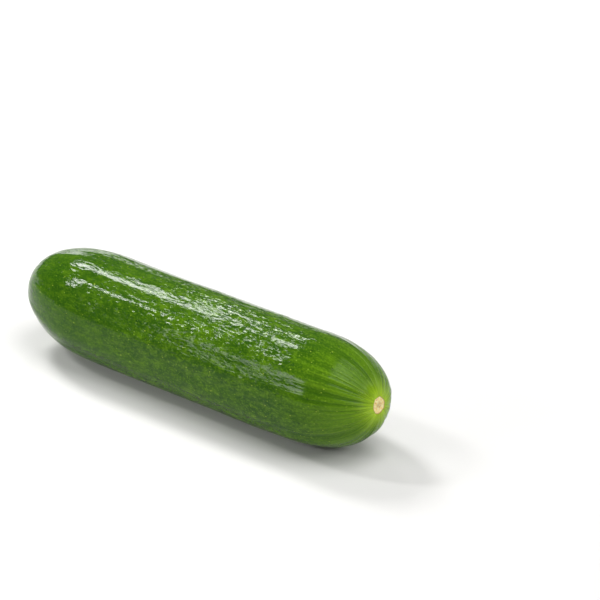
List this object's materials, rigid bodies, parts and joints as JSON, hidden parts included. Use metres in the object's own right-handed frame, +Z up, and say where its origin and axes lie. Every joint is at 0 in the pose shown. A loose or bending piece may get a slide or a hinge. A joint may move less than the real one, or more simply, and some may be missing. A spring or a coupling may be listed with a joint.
{
  "type": "cucumber",
  "caption": "Short smooth-skinned snack cucumber, picked, lying on its side on its naturally flattened underside.",
  "frame": {"origin": "on the surface the fruit lies on, under the middle of its bounding box", "axes": "+X along the fruit from the stem end to the blossom end, +Z up, +Y the side it bows to"},
  "size_m": [0.16, 0.0402, 0.04],
  "materials": {
    "skin": "deep green waxy wrinkled skin, glossy, with a dry tan corky scar at each end"
  },
  "bodies": {
    "root": {"cucumber": "skin"}
  },
  "joints": []
}
